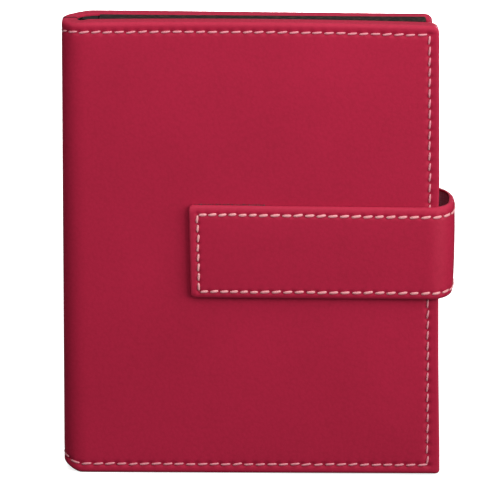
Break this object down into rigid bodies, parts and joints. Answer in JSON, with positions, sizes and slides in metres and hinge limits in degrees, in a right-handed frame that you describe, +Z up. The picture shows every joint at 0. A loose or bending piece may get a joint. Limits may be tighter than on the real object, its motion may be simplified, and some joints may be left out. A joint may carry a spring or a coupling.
{
  "type": "stamp album",
  "caption": "Padded leatherette stamp album with a round spine, contrast stitching, a wrap-round closing strap and black stock leaves with clear pocket strips.",
  "frame": {"origin": "centre of the foot of the closed album's bounding box, on the surface that it stands on", "axes": "+Z up from tail to head, -Y out of the front cover, +X from the spine to the fore-edge"},
  "size_m": [0.1359, 0.0246, 0.16],
  "materials": {
    "leatherette": "fine-grained, soft satin",
    "strap_leatherette": "fine-grained, soft satin",
    "strap_ply": "fine-grained, matt",
    "thread": "waxed thread",
    "wadding": "soft foam sheet",
    "greyboard": "matt grey",
    "lining_paper": "matt black",
    "spine_card": "matt grey",
    "binding_cloth": "black bookcloth",
    "stock_card": "matt black",
    "clear_film": "clear, glossy",
    "linen_tape": "black linen",
    "hook_and_loop": "matt black"
  },
  "bodies": {
    "back_cover": {"back_skin": "leatherette", "back_padding": "wadding", "back_board": "greyboard", "back_lining": "lining_paper", "back_stitching": "thread", "binding_core": "binding_cloth", "strap_anchor_skin": "strap_leatherette", "strap_anchor_lining": "strap_ply", "strap_anchor_stitching": "thread"},
    "spine": {"spine_skin": "leatherette", "spine_padding": "wadding", "spine_card": "spine_card", "spine_lining": "binding_cloth", "spine_stitching": "thread"},
    "front_cover": {"front_skin": "leatherette", "front_padding": "wadding", "front_board": "greyboard", "front_lining": "lining_paper", "front_stitching": "thread", "front_loop_pad": "hook_and_loop"},
    "strap_band": {"strap_band_skin": "strap_leatherette", "strap_band_lining": "strap_ply", "strap_band_stitching": "thread"},
    "strap_flap": {"strap_flap_skin": "strap_leatherette", "strap_flap_lining": "strap_ply", "strap_flap_stitching": "thread", "strap_hook_pad": "hook_and_loop"},
    "leaf_1": {"leaf_1_card": "stock_card", "leaf_1_strips": "clear_film", "leaf_1_tape": "linen_tape"},
    "leaf_2": {"leaf_2_card": "stock_card", "leaf_2_strips": "clear_film", "leaf_2_tape": "linen_tape"},
    "leaf_3": {"leaf_3_card": "stock_card", "leaf_3_strips": "clear_film", "leaf_3_tape": "linen_tape"},
    "leaf_4": {"leaf_4_card": "stock_card", "leaf_4_strips": "clear_film", "leaf_4_tape": "linen_tape"},
    "leaf_5": {"leaf_5_card": "stock_card", "leaf_5_strips": "clear_film", "leaf_5_tape": "linen_tape"},
    "leaf_6": {"leaf_6_card": "stock_card", "leaf_6_strips": "clear_film", "leaf_6_tape": "linen_tape"}
  },
  "joints": [
    {"name": "front_hinge", "type": "hinge", "parent": "spine", "child": "front_cover", "pos_m": [-0.05779, -0.00946, 0.08], "axis": [0, 0, -1], "range_deg": [0, 90]},
    {"name": "back_hinge", "type": "hinge", "parent": "back_cover", "child": "spine", "pos_m": [-0.05779, 0.01052, 0.08], "axis": [0, 0, -1], "range_deg": [0, 90]},
    {"name": "strap_fold", "type": "hinge", "parent": "back_cover", "child": "strap_band", "pos_m": [0.06517, 0.00961, 0.07945], "axis": [0, 0, 1], "range_deg": [0, 90]},
    {"name": "strap_flap_fold", "type": "hinge", "parent": "strap_band", "child": "strap_flap", "pos_m": [0.06517, -0.00961, 0.07945], "axis": [0, 0, 1], "range_deg": [0, 90], "deforming": ["strap_flap_skin", "strap_flap_lining", "strap_flap_stitching", "strap_hook_pad"]},
    {"name": "leaf_1_turn", "type": "hinge", "parent": "back_cover", "child": "leaf_1", "pos_m": [-0.05779, 0.00052, 0.08], "axis": [0, 0, -1], "range_deg": [0, 154.4]},
    {"name": "leaf_2_turn", "type": "hinge", "parent": "back_cover", "child": "leaf_2", "pos_m": [-0.05779, 0.00052, 0.08], "axis": [0, 0, -1], "range_deg": [0, 128.7]},
    {"name": "leaf_3_turn", "type": "hinge", "parent": "back_cover", "child": "leaf_3", "pos_m": [-0.05779, 0.00052, 0.08], "axis": [0, 0, -1], "range_deg": [0, 103]},
    {"name": "leaf_4_turn", "type": "hinge", "parent": "back_cover", "child": "leaf_4", "pos_m": [-0.05779, 0.00052, 0.08], "axis": [0, 0, -1], "range_deg": [0, 77.2]},
    {"name": "leaf_5_turn", "type": "hinge", "parent": "back_cover", "child": "leaf_5", "pos_m": [-0.05779, 0.00052, 0.08], "axis": [0, 0, -1], "range_deg": [0, 51.5]},
    {"name": "leaf_6_turn", "type": "hinge", "parent": "back_cover", "child": "leaf_6", "pos_m": [-0.05779, 0.00052, 0.08], "axis": [0, 0, -1], "range_deg": [0, 25.8]}
  ],
  "couplings": [
    {"joint": "back_hinge", "follows": "front_hinge", "ratio": 1},
    {"joint": "strap_flap_fold", "follows": "strap_fold", "ratio": 1},
    {"joint": "leaf_1_turn", "follows": "front_hinge", "ratio": 1.7144},
    {"joint": "leaf_2_turn", "follows": "front_hinge", "ratio": 1.4289},
    {"joint": "leaf_3_turn", "follows": "front_hinge", "ratio": 1.1433},
    {"joint": "leaf_4_turn", "follows": "front_hinge", "ratio": 0.85667},
    {"joint": "leaf_5_turn", "follows": "front_hinge", "ratio": 0.57111},
    {"joint": "leaf_6_turn", "follows": "front_hinge", "ratio": 0.28556}
  ]
}
